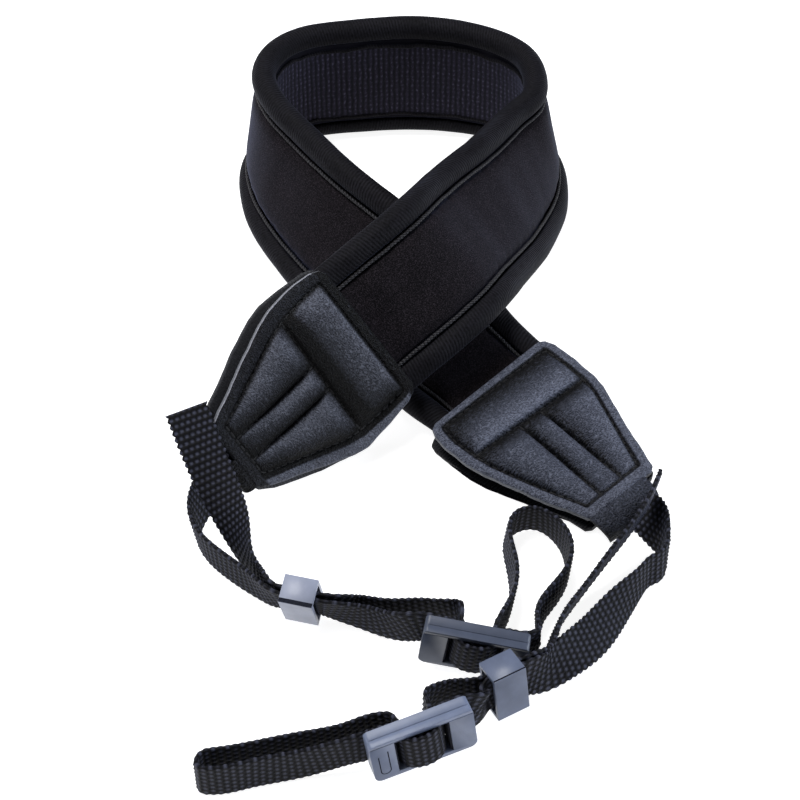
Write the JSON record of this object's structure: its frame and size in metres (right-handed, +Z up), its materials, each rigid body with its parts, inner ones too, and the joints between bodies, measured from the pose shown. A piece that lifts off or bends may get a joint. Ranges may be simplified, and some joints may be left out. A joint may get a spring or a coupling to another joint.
{
  "type": "camera neck strap",
  "caption": "Padded camera neck strap lying on a surface, its band bent into a loop with crossed leather-patched ends, narrow webbing threaded through keepers and slide buckles to the camera loops.",
  "frame": {"origin": "Middle of the strap's rectangle on the surface it lies on, at the height of that surface.", "axes": "+Z is up from the surface. +Y runs from the crossed ends and the webbing towards the back of the neck loop. +X runs from the left patch's side to the right one's."},
  "size_m": [0.129, 0.253, 0.0508],
  "materials": {
    "jersey": "matte black fine jersey over foam padding",
    "edge_jersey": "matte black smooth jersey",
    "grip_mesh": "dark navy knitted mesh with raised wales and grip dots",
    "left_leather": "very dark blue-grey grained synthetic leather",
    "right_leather": "dark blue-grey grained synthetic leather",
    "backing": "near-black synthetic leather",
    "webbing": "black coarse plain weave",
    "hardware": "semi-gloss blue-grey moulded plastic"
  },
  "bodies": {
    "root": {"neck_pad": "jersey", "edge_binding_upper": "edge_jersey", "edge_binding_lower": "edge_jersey", "grip_lining": "grip_mesh", "left_patch_front": "left_leather", "left_patch_back": "backing", "right_patch_front": "right_leather", "right_patch_back": "backing", "left_webbing": "webbing", "right_webbing": "webbing", "left_keeper": "hardware", "left_buckle": "hardware", "right_keeper": "hardware", "right_buckle": "hardware"}
  },
  "joints": []
}
